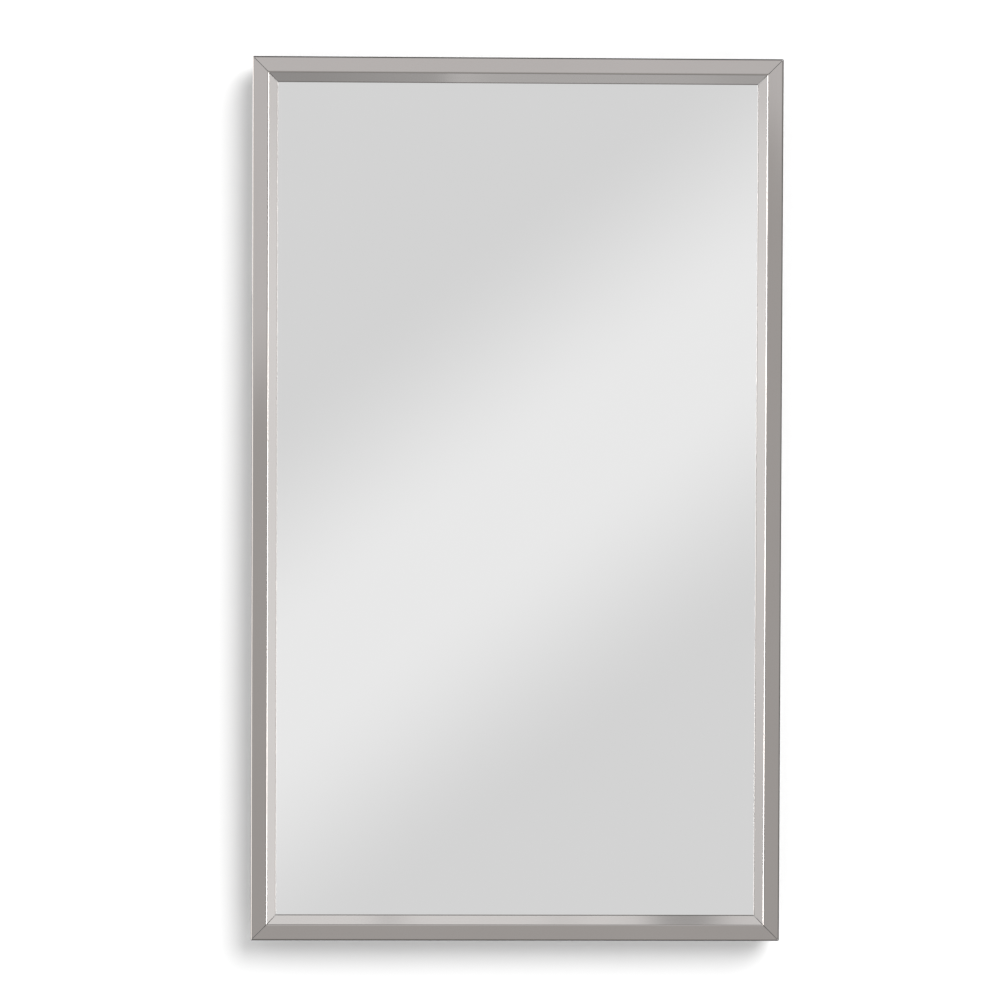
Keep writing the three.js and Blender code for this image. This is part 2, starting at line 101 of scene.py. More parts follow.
door_half_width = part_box("frame_right_stile")[1].x
door_half_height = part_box("frame_top_rail")[1].z
front_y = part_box("frame_left_stile")[0].y
flange_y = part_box("left_side_panel")[0].y


# ---- Mesh helpers ------------------------------------------------------------------------------------------


def shade(mesh):
    """Smooth shading that leaves flat faces flat: at each corner the largest of the faces it joins wins."""
    around = [[] for _ in mesh.vertices]
    for face in mesh.polygons:
        for v in face.vertices:
            around[v].append((face.normal.copy(), (face.area / MM**2) ** 2 + 1e-9))
    normals = []
    for face in mesh.polygons:
        for v in face.vertices:
            joined = Vector((0, 0, 0))
            for normal, weight in around[v]:
                if normal.dot(face.normal) > JOINED:
                    joined += normal * weight
            normals.append(joined.normalized())
    mesh.shade_smooth()
    mesh.normals_split_custom_set(normals)


def mesh_of(bm, name):
    """A smooth mesh from bm, with an edge left sharp where it turns by more than SHARP_ANGLE."""
    bmesh.ops.recalc_face_normals(bm, faces=bm.faces)
    mesh = bpy.data.meshes.new(name)
    bm.to_mesh(mesh)
    bm.free()
    shade(mesh)
    return mesh


def soften(bm, width, segments=2):
    """Rounds every edge of bm that turns by more than SHARP_ANGLE."""
    edges = [e for e in bm.edges if e.is_manifold and e.calc_face_angle(0) > SHARP_ANGLE]
    bmesh.ops.bevel(
        bm, geom=edges, offset=width, offset_type="OFFSET", segments=segments, profile=0.5,
        affect="EDGES", clamp_overlap=True, miter_outer="ARC",
    )


def rounded_path(corners):
    """The points of a line through corners (u, v, radius), with each radius drawn as an arc."""
    points = []
    for i, corner in enumerate(corners):
        here = Vector(corner[:2])
        if len(corner) < 3:
            points.append(here)
            continue
        radius = corner[2]
        back = (Vector(corners[i - 1][:2]) - here).normalized()
        onward = (Vector(corners[i + 1][:2]) - here).normalized()
        half = math.acos(back.dot(onward)) / 2
        centre = here + (back + onward).normalized() * (radius / math.sin(half))
        start = here + back * (radius / math.tan(half)) - centre
        end = here + onward * (radius / math.tan(half)) - centre
        sweep = math.atan2(start.x * end.y - start.y * end.x, start.dot(end))
        steps = math.ceil(abs(sweep) / ARC_STEP)
        for k in range(steps + 1):
            points.append(centre + Matrix.Rotation(sweep * k / steps, 2) @ start)
    return points


def sheet_sides(corners, thickness):
    """The face of a folded sheet seen end on, and the points behind it, on the left of the face."""
    face = rounded_path(corners)
    sideways = []
    for p, q in zip(face, face[1:]):
        along = (q - p).normalized()
        sideways.append(Vector((-along.y, along.x)))
    other = []
    for i, p in enumerate(face):
        a = sideways[max(i - 1, 0)]
        b = sideways[min(i, len(sideways) - 1)]
        other.append(p + (a + b) * (thickness / (1 + a.dot(b))))
    return face, other


SIDES = {  # outward direction, distance to the door's edge and half the edge's length
    "left": (Vector((-1, 0, 0)), door_half_width, door_half_height),
    "right": (Vector((1, 0, 0)), door_half_width, door_half_height),
    "top": (Vector((0, 0, 1)), door_half_height, door_half_width),
    "bottom": (Vector((0, 0, -1)), door_half_height, door_half_width),
}
MITRE_ROUND = [(0, 0.16), (0.05, 0.05), (0.16, 0)]  # back from the mitre, and down from the face, in mm


def ring_member(side, corners, thickness, rounding):
    """One side of a mitred rectangular ring of folded sheet. rounding lists its slices next to each mitre."""
    outward, reach, half = SIDES[side]
    inward = -outward
    backward = Vector((0, 1, 0))
    along = inward.cross(backward)
    face, other = sheet_sides(corners, thickness)
    mitre_gap = CLEAR * math.sqrt(0.5)
    bm = bmesh.new()

    def vertex(u, v, end, back):
        length = end * (half - (u + mitre_gap + back) * MM)
        place = outward * reach + inward * (u * MM) + along * length
        return bm.verts.new(place + backward * (front_y + v * MM))

    slices = []
    for end, rows in ((-1, rounding), (1, rounding[::-1])):
        for back, down in rows:
            front_row = []
            for f, o in zip(face, other):
                p = f + (o - f).normalized() * down
                front_row.append(vertex(p.x, p.y, end, back))
            back_row = [vertex(o.x, o.y, end, back) for o in other]
            slices.append((front_row, back_row))
    for (front_a, back_a), (front_b, back_b) in zip(slices, slices[1:]):
        loop_a = front_a + back_a[::-1]
        loop_b = front_b + back_b[::-1]
        for i in range(len(loop_a)):
            j = (i + 1) % len(loop_a)
            bm.faces.new((loop_a[i], loop_a[j], loop_b[j], loop_b[i]))
    for front_row, back_row in (slices[0], slices[-1]):
        for i in range(len(front_row) - 1):
            bm.faces.new((front_row[i], front_row[i + 1], back_row[i + 1], back_row[i]))
    return bm


def lathe(profile, sides=ROUND_SIDES):
    """A turned solid about +Z from (radius, height) points that start and end on the axis, in millimetres."""
    bm = bmesh.new()
    rings = []
    for radius, height in profile:
        if radius == 0:
            rings.append([bm.verts.new((0, 0, height * MM))])
            continue
        ring = []
        for k in range(sides):
            angle = 2 * math.pi * k / sides
            x = radius * MM * math.cos(angle)
            y = radius * MM * math.sin(angle)
            ring.append(bm.verts.new((x, y, height * MM)))
        rings.append(ring)
    for a, b in zip(rings, rings[1:]):
        for k in range(sides):
            m = (k + 1) % sides
            corners = [a[k % len(a)], a[m % len(a)], b[m % len(b)], b[k % len(b)]]
            bm.faces.new(list(dict.fromkeys(corners)))
    return bm


def slab(low, high, width):
    """A box with rounded edges, from its lowest corner to its highest, in metres."""
    bm = bmesh.new()
    size = Vector(high) - Vector(low)
    middle = (Vector(high) + Vector(low)) / 2
    bmesh.ops.create_cube(bm, size=1, matrix=Matrix.Translation(middle) @ Matrix.Diagonal((*size, 1)))
    soften(bm, width, segments=3)
    return bm


def combine(mesh, tools, operation):
    """mesh after a boolean with each of the tools, which are meshes too."""
    base = bpy.data.objects.new("base", mesh)
    bpy.context.scene.collection.objects.link(base)
    made = []
    for tool in tools:
        cutter = bpy.data.objects.new("cutter", tool)
        bpy.context.scene.collection.objects.link(cutter)
        step = base.modifiers.new("step", "BOOLEAN")
        step.operation = operation
        step.solver = "EXACT"
        step.object = cutter
        made.append(cutter)
    shaped = base.evaluated_get(bpy.context.evaluated_depsgraph_get())
    result = bpy.data.meshes.new_from_object(shaped)
    for obj in [base, *made]:
        bpy.data.objects.remove(obj)
    shade(result)
    return result


def refined(node, width):
    """The CAD node's own shape as clean faces, with its edges rounded."""
    bm = bmesh.new()
    bm.from_mesh(frame["nodes"][node].data)
    bmesh.ops.remove_doubles(bm, verts=bm.verts, dist=0.005 * MM)
    bmesh.ops.dissolve_limit(bm, angle_limit=math.radians(1), verts=bm.verts, edges=bm.edges)
    soften(bm, width * MM)
    return mesh_of(bm, node)


def place(mesh, node, material, matrix=None):
    """Shows mesh instead of a CAD node, on the node's body and with the material given."""
    obj = bpy.data.objects.new(node + "_fine", mesh)
    bpy.context.scene.collection.objects.link(obj)
    if matrix is not None:
        obj.matrix_world = matrix
    if not mesh.materials:
        mesh.materials.append(material)
    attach(obj, BODY_OF[node])
    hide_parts(node)
    return obj


def pointing(seat, axis):
    """The matrix that puts a turned piece's seat at a point, with its +Z along axis."""
    return Matrix.Translation(seat) @ Vector((0, 0, 1)).rotation_difference(Vector(axis)).to_matrix().to_4x4()


# ---- Finishes ----------------------------------------------------------------------------------------------


class Finish:
    """A node material in the making. Positions are the object's own, in metres."""

    def __init__(self, name, values):
        self.material = bpy.data.materials.new(name)
        self.material.use_nodes = True
        self.tree = self.material.node_tree
        self.shader = self.tree.nodes["Principled BSDF"]
        self.place = self.node("ShaderNodeTexCoord").outputs["Object"]
        for socket, value in values.items():
            self.shader.inputs[socket].default_value = value

    def node(self, kind, **settings):
        made = self.tree.nodes.new(kind)
        for key, value in settings.items():
            setattr(made, key, value)
        return made

    def link(self, output, target):
        self.tree.links.new(output, target)

    def stretched(self, scale):
        mapping = self.node("ShaderNodeMapping")
        mapping.inputs["Scale"].default_value = scale
        self.link(self.place, mapping.inputs["Vector"])
        return mapping.outputs["Vector"]

    def noise(self, scale, detail=3, roughness=0.5, vector=None):
        texture = self.node("ShaderNodeTexNoise")
        texture.inputs["Scale"].default_value = scale
        texture.inputs["Detail"].default_value = detail
        texture.inputs["Roughness"].default_value = roughness
        self.link(vector or self.place, texture.inputs["Vector"])
        return texture.outputs["Fac"]

    def cells(self, scale):
        """The distance to the nearest of many scattered points."""
        texture = self.node("ShaderNodeTexVoronoi")
        texture.inputs["Scale"].default_value = scale
        self.link(self.place, texture.inputs["Vector"])
        return texture.outputs["Distance"]

    def math(self, operation, a, b=0.0):
        made = self.node("ShaderNodeMath", operation=operation)
        for socket, value in zip(made.inputs, (a, b)):
            if isinstance(value, (int, float)):
                socket.default_value = value
            else:
                self.link(value, socket)
        return made.outputs["Value"]

    def ramp(self, value, low, high, from_low=0.3, from_high=0.7):
        """value mapped smoothly from one range to another."""
        made = self.node("ShaderNodeMapRange", interpolation_type="SMOOTHSTEP")
        limits = {"From Min": from_low, "From Max": from_high, "To Min": low, "To Max": high}
        for socket, number in limits.items():
            made.inputs[socket].default_value = number
        self.link(value, made.inputs["Value"])
        return made.outputs["Result"]

    def colour(self, factor, first, second):
        """The base colour goes from first to second as factor goes from 0 to 1."""
        mix = self.mix(factor, first, second)
        self.link(mix, self.shader.inputs["Base Color"])
        return mix

    def mix(self, factor, first, second):
        made = self.node("ShaderNodeMix", data_type="RGBA")
        self.link(factor, made.inputs[0])
        for socket, value in zip((made.inputs[6], made.inputs[7]), (first, second)):
            if isinstance(value, tuple):
                socket.default_value = (*value, 1)
            else:
                self.link(value, socket)
        return made.outputs[2]

    def roughness(self, value):
        self.link(value, self.shader.inputs["Roughness"])

    def bump(self, height, depth_mm, strength=1.0):
        made = self.node("ShaderNodeBump")
        made.inputs["Distance"].default_value = depth_mm * MM
        made.inputs["Strength"].default_value = strength
        self.link(height, made.inputs["Height"])
        self.link(made.outputs["Normal"], self.shader.inputs["Normal"])

    def facing(self, axis):
        """The part of the surface's own normal along an axis: 0 is X, 1 is Y and 2 is Z."""
        split = self.node("ShaderNodeSeparateXYZ")
        coordinates = self.node("ShaderNodeTexCoord")
        self.link(coordinates.outputs["Normal"], split.inputs["Vector"])
        return split.outputs[axis]


def polished_steel(name, along):
    """Polished stainless steel: a faint grain along the rail, and the slow waviness of rolled sheet."""
    finish = Finish(name, {"Metallic": 1.0})
    grain_scale = [GRAIN_ALONG if axis == along else GRAIN_ACROSS for axis in "xyz"]
    wave_scale = [WAVES_ALONG if axis == along else WAVES_ACROSS for axis in "xyz"]
    grain = finish.noise(1, 4, 0.6, finish.stretched(grain_scale))
    waves = finish.noise(1, 2, 0.5, finish.stretched(wave_scale))
    drift = finish.noise(7, 2)
    finish.colour(finish.ramp(drift, 0, 1), (0.462, 0.431, 0.412), (0.474, 0.443, 0.424))
    haze = finish.math("MULTIPLY", finish.ramp(grain, 0, 1), 0.02)
    finish.roughness(finish.math("ADD", haze, finish.ramp(drift, 0.06, 0.085)))
    finish.bump(finish.math("ADD", waves, finish.math("MULTIPLY", grain, 0.01)), 0.04)
    return finish.material


def mirror_silver():
    """Silvered glass: the front reflects, and the back and edges show the paint over the silver."""
    finish = Finish("mirror_silver", {"Coat Weight": 0.3, "Coat Roughness": 0.0})
    front = finish.ramp(finish.facing(1), 1, 0, -0.9, -0.6)
    film = finish.noise(5, 3)
    paint = finish.mix(finish.noise(300, 2), (0.21, 0.24, 0.23), (0.27, 0.3, 0.29))
    silver = finish.mix(finish.ramp(film, 0, 1), (0.942, 0.942, 0.942), (0.947, 0.947, 0.947))
    finish.link(finish.mix(front, paint, silver), finish.shader.inputs["Base Color"])
    finish.link(front, finish.shader.inputs["Metallic"])
    clear = finish.ramp(film, 0.0, 0.004)
    matt = finish.math("MULTIPLY", finish.math("SUBTRACT", 1, front), 0.5)
    finish.roughness(finish.math("ADD", clear, matt))
    return finish.material


def white_enamel():
    """Baked enamel on steel, with a little orange peel."""
    finish = Finish("white_enamel", {"Coat Weight": 0.25, "Coat Roughness": 0.12})
    peel = finish.noise(700, 2, 0.4)
    drift = finish.noise(12, 3)
    finish.colour(finish.ramp(drift, 0, 1), (0.745, 0.745, 0.735), (0.775, 0.775, 0.768))
    finish.roughness(finish.ramp(drift, 0.3, 0.38))
    finish.bump(peel, 0.02, 0.35)
    return finish.material


def clear_glass():
    """Float glass: clear through its faces, and ground and green along its edges."""
    finish = Finish("clear_glass", {"Transmission Weight": 1.0, "IOR": 1.52})
    upright = finish.math("ABSOLUTE", finish.facing(2))
    edge = finish.ramp(upright, 1, 0, 0.4, 0.8)
    grit = finish.noise(1500, 2)
    finish.colour(edge, (0.93, 0.985, 0.965), (0.62, 0.85, 0.76))
    finish.roughness(finish.math("MULTIPLY", edge, finish.ramp(grit, 0.22, 0.34)))
    return finish.material


def zinc_plate():
    """Bright zinc plate, with the faint blue and straw tints of its passivation."""
    finish = Finish("zinc_plate", {"Metallic": 1.0})
    tint = finish.noise(45, 3)
    fine = finish.noise(900, 3, 0.6)
    finish.colour(finish.ramp(tint, 0, 1), (0.56, 0.58, 0.6), (0.64, 0.63, 0.6))
    finish.roughness(finish.ramp(fine, 0.24, 0.36))
    finish.bump(fine, 0.006, 0.5)
    return finish.material


def nickel_plate():
    finish = Finish("nickel_plate", {"Metallic": 1.0})
    wear = finish.noise(160, 3)
    finish.colour(finish.ramp(wear, 0, 1), (0.6, 0.57, 0.52), (0.68, 0.65, 0.6))
    finish.roughness(finish.ramp(wear, 0.14, 0.26))
    finish.bump(finish.noise(1200, 2), 0.003, 0.4)
    return finish.material


def cast_zinc():
    finish = Finish("cast_zinc", {"Metallic": 0.9})
    skin = finish.noise(500, 4, 0.65)
    finish.colour(finish.ramp(skin, 0, 1), (0.33, 0.34, 0.35), (0.46, 0.47, 0.48))
    finish.roughness(finish.ramp(skin, 0.42, 0.6))
    finish.bump(skin, 0.05, 0.6)
    return finish.material


def backing_foam():
    """Closed-cell foam sheet: small round cells."""
    finish = Finish("backing_foam", {})
    cells = finish.cells(900)
    finish.colour(finish.ramp(cells, 0, 1, 0.1, 0.6), (0.72, 0.72, 0.7), (0.84, 0.84, 0.82))
    finish.roughness(finish.ramp(finish.noise(80, 2), 0.85, 0.95))
    finish.bump(cells, 0.2, 0.6)
    return finish.material


def white_plastic():
    """Moulded plastic with a fine spark-eroded texture."""
    finish = Finish("white_plastic", {"Subsurface Weight": 0.05, "Subsurface Scale": 0.002})
    grain = finish.noise(1400, 3, 0.6)
    finish.colour(finish.ramp(finish.noise(30, 2), 0, 1), (0.79, 0.79, 0.775), (0.83, 0.83, 0.82))
    finish.roughness(finish.ramp(grain, 0.4, 0.52))
    finish.bump(grain, 0.02, 0.5)
    return finish.material


def ferrite():
    finish = Finish("ferrite", {"Metallic": 0.2})
    specks = finish.cells(1300)
    finish.colour(finish.ramp(specks, 0, 1), (0.035, 0.034, 0.034), (0.07, 0.068, 0.068))
    finish.roughness(finish.ramp(finish.noise(600, 2), 0.45, 0.65))
    finish.bump(finish.noise(900, 3), 0.03, 0.5)
    return finish.material


def clear_rubber():
    """Soft translucent rubber."""
    values = {"Subsurface Weight": 0.4, "Subsurface Scale": 0.004, "Transmission Weight": 0.2}
    finish = Finish("clear_rubber", values)
    dust = finish.noise(700, 3)
    finish.colour(finish.ramp(dust, 0, 1), (0.66, 0.67, 0.66), (0.74, 0.75, 0.74))
    finish.roughness(finish.ramp(dust, 0.42, 0.6))
    finish.bump(dust, 0.01, 0.4)
    return finish.material


GRAIN_ALONG = 4  # per metre along a rail
GRAIN_ACROSS = 2200
WAVES_ALONG = 12
WAVES_ACROSS = 40
steel_across = polished_steel("polished_steel_rails", "x")
steel_upright = polished_steel("polished_steel_stiles", "z")
silver = mirror_silver()
enamel = white_enamel()
glass = clear_glass()
zinc = zinc_plate()
nickel = nickel_plate()
casting = cast_zinc()
foam = backing_foam()
plastic = white_plastic()
magnet_grey = ferrite()
rubber = clear_rubber()

# ---- The door's frame and the box's walls ------------------------------------------------------------------

RIM_DEPTH = 8
wall_v = (flange_y - front_y) / MM  # front of the flange, back from the door's front
tab_end_v = (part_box("left_side_panel")[1].y - front_y) / MM
WALL_CORNERS = [
    (FLANGE_INSET, wall_v + RIM_DEPTH),
    (FLANGE_INSET, wall_v, BOX_BEND),
    (BOX_WALL_U, wall_v, BOX_BEND),
    (BOX_WALL_U, tab_end_v - BOX_SHEET, BOX_BEND),
    (BOX_WALL_U + WELD_TAB, tab_end_v - BOX_SHEET),
]
room_wall_y = front_y + (wall_v + RIM_DEPTH) * MM


def hole_cutter(centre, radius):
    """A cylinder along X that cuts a hole through a side wall."""
    bm = lathe([(0, -5), (radius, -5), (radius, 5), (0, 5)], 28)
    bm.transform(Matrix.Translation(centre) @ Matrix.Rotation(math.pi / 2, 4, "Y"))
    return mesh_of(bm, "hole")


def side_holes(side):
    """The cutters for the clips' holes and the stud screws' holes in a side wall."""
    sign = -1 if side == "left" else 1
    x = sign * (door_half_width - (BOX_WALL_U - BOX_SHEET / 2) * MM)
    cutters = []
    for node in NODES:
        if not node.startswith("shelf_clip") or f"_{side}_" not in node:
            continue
        low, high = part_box(node)
        middle = (low + high) / 2
        for row in (-1, 0, 1):
            centre = Vector((x, middle.y, middle.z + row * CLIP_ROW_PITCH * MM))
            cutters.append(hole_cutter(centre, CLIP_HOLE_RADIUS))
    for z in (-STUD_HOLE["z"], STUD_HOLE["z"]):
        cutters.append(hole_cutter(Vector((x, STUD_HOLE["y"] * MM, z * MM)), STUD_HOLE["radius"]))
    return cutters


def make_frame_and_walls():
    for side in SIDES:
        upright = side in ("left", "right")
        rail = f"frame_{side}_{'stile' if upright else 'rail'}"
        mesh = mesh_of(ring_member(side, FRAME_CORNERS, FRAME_SHEET, MITRE_ROUND), rail)
        place(mesh, rail, steel_upright if upright else steel_across)
        panel = f"{side}_side_panel" if upright else f"{side}_panel"
        mesh = mesh_of(ring_member(side, WALL_CORNERS, BOX_SHEET, [(0, 0)]), panel)
        if upright:
            mesh = combine(mesh, side_holes(side), "DIFFERENCE")
        place(mesh, panel, enamel)


# ---- Flat pieces, castings and mouldings, from the CAD's own shapes ----------------------------------------

FLAT_PIECES = {  # node: finish and edge rounding in millimetres
    "mirror_glass": (silver, 0.5),
    "mirror_backing_pad": (foam, 0.5),
    "door_back_panel": (enamel, 0.15),
    "back_panel": (enamel, 0.15),
    "glass_shelf_lower": (glass, 0.8),
    "glass_shelf_middle": (glass, 0.8),
    "glass_shelf_upper": (glass, 0.8),
    "hinge_backing_strip": (zinc, 0.2),
    "strike_plate": (zinc, 0.2),
    "catch_housing": (plastic, 0.35),
    "catch_magnet": (magnet_grey, 0.4),
    "corner_key_top_left": (casting, 0.4),
    "corner_key_top_right": (casting, 0.4),
    "corner_key_bottom_left": (casting, 0.4),
    "corner_key_bottom_right": (casting, 0.4),
}


def make_flat_pieces():
    for node, (material, width) in FLAT_PIECES.items():
        place(refined(node, width), node, material)


# ---- The hinge ---------------------------------------------------------------------------------------------

pin_low, pin_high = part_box("hinge_pin")
hinge_axis = (pin_low + pin_high) / 2
hinge_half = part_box("hinge_body_leaf")[1].z / MM


def curled_leaf(node, first_knuckle, towards):
    """A leaf whose sheet curls round the pin at every other knuckle."""
    low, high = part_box(node)
    leaf_end = (high.x - hinge_axis.x) / MM
    outer = KNUCKLE_RADIUS
    inner = KNUCKLE_RADIUS - BOX_SHEET
    angles = [math.pi / 2 + CURL_TURN * k / CURL_STEPS for k in range(CURL_STEPS + 1)]
    arc = [Vector((math.cos(a), math.sin(a))) for a in angles]
    bm = bmesh.new()

    def vertex(x, y, z):
        return bm.verts.new(hinge_axis + Vector((x, y * towards, z)) * MM)

    def wrap(a, b):
        for i in range(len(a) - 1):
            bm.faces.new((a[i], a[i + 1], b[i + 1], b[i]))

    knuckles = round(2 * hinge_half / KNUCKLE_PITCH)
    levels = [(-hinge_half, False)]
    for k in range(first_knuckle, knuckles, 2):
        middle = -hinge_half + KNUCKLE_PITCH * (k + 0.5)
        levels.append((middle - (KNUCKLE_PITCH - CLEAR) / 2, True))
        levels.append((middle + (KNUCKLE_PITCH - CLEAR) / 2, False))
    levels.append((hinge_half, False))
    rows = []
    section = ((LEAF_START, inner), (leaf_end, inner), (leaf_end, outer), (LEAF_START, outer))
    for z, curl_above in levels:
        rows.append((z, curl_above, [vertex(*p, z) for p in section]))
    for i, ((z0, curls, a), (z1, _, b)) in enumerate(zip(rows, rows[1:])):
        wrap(a, b)
        if not curls:
            wrap([a[3], a[0]], [b[3], b[0]])
            continue
        ends = []
        for z, plate in ((z0, a), (z1, b)):
            outside = [plate[3]] + [vertex(*(p * outer), z) for p in arc]
            inside = [plate[0]] + [vertex(*(p * inner), z) for p in arc]
            wrap(outside, inside)
            ends.append(outside + inside[::-1])
        wrap(ends[0], ends[1])
    wrap(rows[0][2][:2], rows[0][2][:1:-1])
    wrap(rows[-1][2][:2], rows[-1][2][:1:-1])
    return mesh_of(bm, node)


def make_hinge():
    place(curled_leaf("hinge_body_leaf", 0, 1), "hinge_body_leaf", zinc)
    place(curled_leaf("hinge_door_leaf", 1, -1), "hinge_door_leaf", zinc)
    head, height = PIN_HEAD
    shoulder = hinge_half + CLEAR
    end = shoulder + height
    upper = [(PIN_RADIUS, shoulder), (head, shoulder), (head, end - 0.35), (head * 0.7, end), (0, end)]
    profile = [(radius, -z) for radius, z in reversed(upper)] + upper
    place(mesh_of(lathe(profile), "hinge_pin"), "hinge_pin", zinc, Matrix.Translation(hinge_axis))


# ---- Screws and rivets -------------------------------------------------------------------------------------


def dome(radius, low, high, end, steps):
    """Profile points up a round top from low, towards its pole at high, as far as the angle end."""
    angles = [end * (k + 1) / steps for k in range(steps)]
    return [(radius * math.cos(a), low + (high - low) * math.sin(a)) for a in angles]


def threaded(shank, length):
    """The profile of a screw's thread from its tip to its head, as rings one pitch apart."""
    pitch = THREAD_PITCH
    root = shank * THREAD_ROOT
    points = [(0, -length), (root * 0.35, -length + 0.1)]
    height = -length + shank
    while height < -pitch:
        points += [(root, height), (shank, height + pitch * 0.4), (root, height + pitch * 0.8)]
        height += pitch
    return points + [(root, -0.3), (shank, 0)]


def cross_recess(width, depth, top):
    """A cross-shaped punch that narrows downwards, for a driver."""
    arm = width / 2
    half = width * 0.13
    quarter = ((arm, half), (half, half), (half, arm))
    points = []
    for k in range(4):
        spin = Matrix.Rotation(k * math.pi / 2, 2)
        points += [spin @ Vector(p) for p in quarter]
    bm = bmesh.new()
    above = [bm.verts.new((p.x * MM, p.y * MM, (top + 0.5) * MM)) for p in points]
    below = [bm.verts.new((p.x * 0.5 * MM, p.y * 0.5 * MM, (top - depth) * MM)) for p in points]
    bm.faces.new(above)
    bm.faces.new(below[::-1])
    for i in range(len(points)):
        j = (i + 1) % len(points)
        bm.faces.new((above[i], above[j], below[j], below[i]))
    return mesh_of(bm, "recess")


def screw_mesh(name, shank, length, head, height, domed):
    profile = threaded(shank, length) + [(head, 0)]
    if domed:
        side = height * 0.3
        pole = side + (height - side) / math.sin(PAN_DOME)
        profile += [(head, side)] + dome(head, side, pole, PAN_DOME, 5)
    else:
        profile += [(head, height - 0.15), (head - 0.15, height)]
    profile.append((0, height))
    mesh = mesh_of(lathe(profile), name)
    return combine(mesh, [cross_recess(head * 1.05, height * 0.8, height)], "DIFFERENCE")


def head_seat(node, axis, behind):
    """Where a fastener's head sits, from its CAD box: behind is how far it reaches below its head."""
    low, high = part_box(node)
    middle = (low + high) / 2
    axis = Vector(axis)
    tail = Vector([h if a < 0 else l for a, l, h in zip(axis, low, high)])
    start = middle + axis * (tail - middle).dot(axis)
    return start + axis * (behind * MM)


def make_fasteners():
    axes = {"corner_screw": (0, 1, 0), "hinge_screw": (0, 1, 0), "catch_screw": (-1, 0, 0)}
    for kind, (shank, length, head, height) in PAN_SCREWS.items():
        mesh = screw_mesh(kind, shank, length, head, height, True)
        for node in (n for n in NODES if n.startswith(kind)):
            seat = head_seat(node, axes[kind], length)
            place(mesh, node, nickel, pointing(seat, axes[kind]))
    mesh = screw_mesh("strike_screw", *STRIKE_SCREW, False)
    seat = head_seat("strike_screw", (0, 1, 0), STRIKE_SCREW[1])
    place(mesh, "strike_screw", nickel, pointing(seat, (0, 1, 0)))

    r = RIVET
    grip_end = -r["grip"]
    tail_end = grip_end - r["tail_length"]
    tail_curve = grip_end - r["tail_length"] * 0.6
    profile = [(0, tail_end), (r["tail"] * 0.7, tail_end), (r["tail"], tail_curve)]
    profile += [(r["tail"], grip_end), (r["shank"], grip_end), (r["shank"], 0), (r["head"], 0)]
    profile += dome(r["head"], 0, r["height"], RIVET_DOME, 6)
    profile.append((0, r["height"]))
    mesh = mesh_of(lathe(profile), "hinge_rivet")
    for node in (n for n in NODES if n.startswith("hinge_rivet")):
        seat = head_seat(node, (0, -1, 0), r["grip"] + r["tail_length"])
        place(mesh, node, zinc, pointing(seat, (0, -1, 0)))


# ---- Shelf clips and bumpers -------------------------------------------------------------------------------


def clip_mesh():
    """A pin, a collar and a flat tongue, pointing along +X into the box from its left wall."""
    c = CLIP
    pin_end = -c["pin_length"]
    profile = [
        (0, pin_end), (c["pin"] - 0.3, pin_end), (c["pin"], pin_end + 0.3), (c["pin"], 0),
        (c["collar"] - 0.2, 0), (c["collar"], 0.2), (c["collar"], c["collar_thickness"] - 0.25),
        (c["collar"] - 0.25, c["collar_thickness"]), (0, c["collar_thickness"]),
    ]
    bm = lathe(profile)
    bm.transform(Matrix.Rotation(math.pi / 2, 4, "Y"))
    body = mesh_of(bm, "shelf_clip")
    half_width = c["width"] / 2 * MM
    half_sheet = c["sheet"] / 2 * MM
    start = c["collar_thickness"] / 2 * MM
    end = (c["collar_thickness"] + c["length"]) * MM
    tongue = slab((start, -half_width, -half_sheet), (end, half_width, half_sheet), 0.5 * MM)
    return combine(body, [mesh_of(tongue, "tongue")], "UNION")


def make_clips_and_bumpers():
    mesh = clip_mesh()
    for node in (n for n in NODES if n.startswith("shelf_clip")):
        low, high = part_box(node)
        middle = (low + high) / 2
        on_left = middle.x < 0
        wall_x = low.x if on_left else high.x
        inward = 1 if on_left else -1
        seat = Vector((wall_x + inward * CLIP["pin_length"] * MM, middle.y, middle.z))
        turn = Matrix.Rotation(0 if on_left else math.pi, 4, "Z")
        place(mesh, node, nickel, Matrix.Translation(seat) @ turn)
    for node in (n for n in NODES if n.startswith("door_bumper")):
        low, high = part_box(node)
        radius = (high.x - low.x) / 2 / MM
        height = (high.y - low.y) / MM
        side = height * 0.45
        profile = [(0, 0), (radius - 0.2, 0), (radius, 0.2), (radius, side)]
        profile += dome(radius, side, height, BUMPER_DOME, 8)
        profile.append((0, height))
        seat = Vector(((low.x + high.x) / 2, high.y, (low.z + high.z) / 2))
        place(mesh_of(lathe(profile), node), node, rubber, pointing(seat, (0, -1, 0)))


make_frame_and_walls()
make_flat_pieces()
make_hinge()
make_fasteners()
make_clips_and_bumpers()

# ---- Stage: a pale wall with the opening that the box fits, and a pale floor -------------------------------
# The dark lining close around the box is painted shade, a dark sheet for the shaded hollow of the wall that
# its holes show. Seen from behind, none of these is there.

WALL_REACH = 6.0
FLOOR_DROP = 1.45
FLOOR_FRONT = 2.8
OPENING_MARGIN = 0.004
SHADE_SHEET_CLEAR = 0.0006
box_half_width = door_half_width - BOX_WALL_U * MM + BOX_SHEET * MM
box_half_height = door_half_height - BOX_WALL_U * MM + BOX_SHEET * MM


